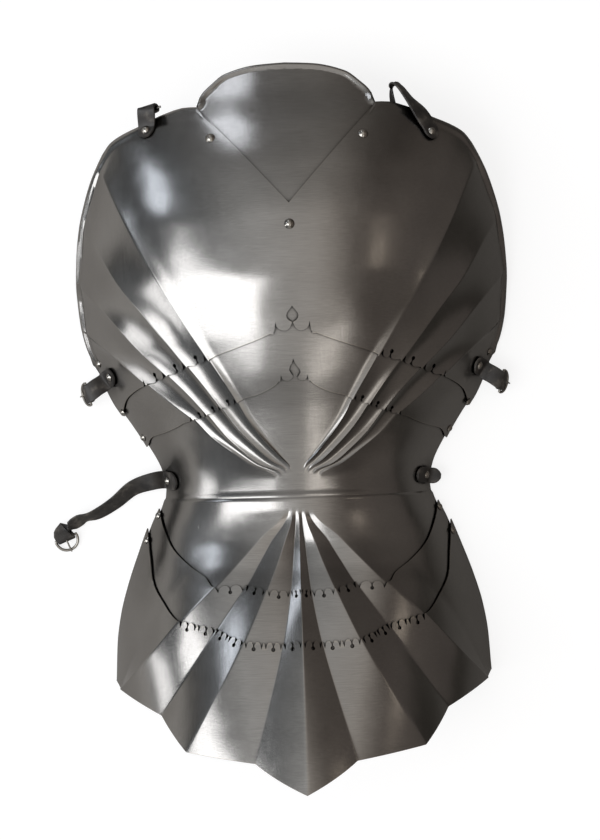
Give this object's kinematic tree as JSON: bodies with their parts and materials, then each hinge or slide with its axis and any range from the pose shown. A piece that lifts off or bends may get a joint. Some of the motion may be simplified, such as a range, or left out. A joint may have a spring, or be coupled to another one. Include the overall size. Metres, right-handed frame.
{
  "type": "steel cuirass backplate with articulated culet",
  "caption": "Fluted steel backplate of a Gothic-style cuirass, with a collar plate, a riveted waist and a folded tail of hinged lames, resting on its rims with loose leather straps.",
  "frame": {"origin": "on the ground plane at the middle of the whole part's box, which is 15 mm to the left of the centre line because the long strap lies out to that side", "axes": "+X to the wearer's right hand, +Y towards the neck, +Z outwards from the back"},
  "size_m": [0.4994, 0.7366, 0.199],
  "materials": {
    "plate_steel": "polished, with fine scratches",
    "rivet_steel": "polished",
    "buckle_iron": "dark, satin",
    "strap_leather": "worn black"
  },
  "bodies": {
    "back_plate": {"back_plate": "plate_steel", "neck_plate": "plate_steel", "shoulder_strap_left": "strap_leather", "shoulder_strap_right": "strap_leather", "side_strap_left": "strap_leather", "side_strap_right": "strap_leather", "shoulder_bar": "buckle_iron", "rivet_neck_centre": "rivet_steel", "rivet_pivot_main_left": "rivet_steel", "rivet_pivot_main_right": "rivet_steel", "rivet_neck_left": "rivet_steel", "rivet_neck_right": "rivet_steel", "rivet_shoulder_left": "rivet_steel", "rivet_shoulder_right": "rivet_steel", "rivet_rim_left": "rivet_steel", "rivet_rim_right": "rivet_steel", "rivet_side_left": "rivet_steel", "rivet_side_right": "rivet_steel"},
    "mid_lame": {"mid_lame": "plate_steel", "rivet_pivot_mid_left": "rivet_steel", "rivet_pivot_mid_right": "rivet_steel"},
    "waist_plate": {"waist_plate": "plate_steel", "waist_strap_left": "strap_leather", "waist_strap_right": "strap_leather", "rivet_waist_left": "rivet_steel", "rivet_waist_right": "rivet_steel"},
    "tail_lame_upper": {"tail_lame_upper": "plate_steel", "rivet_pivot_tail_upper_left": "rivet_steel", "rivet_pivot_tail_upper_right": "rivet_steel"},
    "tail_lame_lower": {"tail_lame_lower": "plate_steel", "rivet_pivot_tail_lower_left": "rivet_steel", "rivet_pivot_tail_lower_right": "rivet_steel"},
    "side_buckle_left": {"side_buckle_left": "buckle_iron"},
    "side_tongue_left": {"side_tongue_left": "buckle_iron"},
    "side_buckle_right": {"side_buckle_right": "buckle_iron"},
    "side_tongue_right": {"side_tongue_right": "buckle_iron"},
    "waist_buckle": {"waist_buckle": "buckle_iron"},
    "waist_tongue": {"waist_tongue": "buckle_iron"}
  },
  "joints": [
    {"name": "mid_lame_play", "type": "hinge", "parent": "back_plate", "child": "mid_lame", "pos_m": [0.01518, 0.01416, 0.0105], "axis": [-1, 0, 0], "range_deg": [0, 3]},
    {"name": "waist_plate_play", "type": "hinge", "parent": "mid_lame", "child": "waist_plate", "pos_m": [0.01518, -0.01484, 0.0105], "axis": [-1, 0, 0], "range_deg": [0, 3]},
    {"name": "upper_tail_swing", "type": "hinge", "parent": "waist_plate", "child": "tail_lame_upper", "pos_m": [0.01518, -0.09684, 0.0105], "axis": [-1, 0, 0], "range_deg": [0, 5]},
    {"name": "lower_tail_swing", "type": "hinge", "parent": "tail_lame_upper", "child": "tail_lame_lower", "pos_m": [0.01518, -0.12384, 0.0105], "axis": [-1, 0, 0], "range_deg": [0, 5]},
    {"name": "waist_buckle_turn", "type": "hinge", "parent": "waist_plate", "child": "waist_buckle", "pos_m": [-0.23752, -0.11904, 0.0051], "axis": [-0.9292, -0.3697, 0], "range_deg": [0, 45]},
    {"name": "waist_tongue_turn", "type": "hinge", "parent": "waist_buckle", "child": "waist_tongue", "pos_m": [-0.23752, -0.11904, 0.0051], "axis": [-0.9292, -0.3697, 0], "range_deg": [0, 45]},
    {"name": "side_buckle_turn_left", "type": "hinge", "parent": "back_plate", "child": "side_buckle_left", "pos_m": [-0.20682, 0.03516, 0.0175], "axis": [-0.2425, 0.9701, 0], "range_deg": [-10, 10]},
    {"name": "side_tongue_turn_left", "type": "hinge", "parent": "side_buckle_left", "child": "side_tongue_left", "pos_m": [-0.20682, 0.03516, 0.0175], "axis": [-0.2425, 0.9701, 0], "range_deg": [0, 15]},
    {"name": "side_buckle_turn_right", "type": "hinge", "parent": "back_plate", "child": "side_buckle_right", "pos_m": [0.23718, 0.03516, 0.0175], "axis": [-0.2425, -0.9701, 0], "range_deg": [-10, 10]},
    {"name": "side_tongue_turn_right", "type": "hinge", "parent": "side_buckle_right", "child": "side_tongue_right", "pos_m": [0.23718, 0.03516, 0.0175], "axis": [-0.2425, -0.9701, 0], "range_deg": [0, 15]}
  ]
}
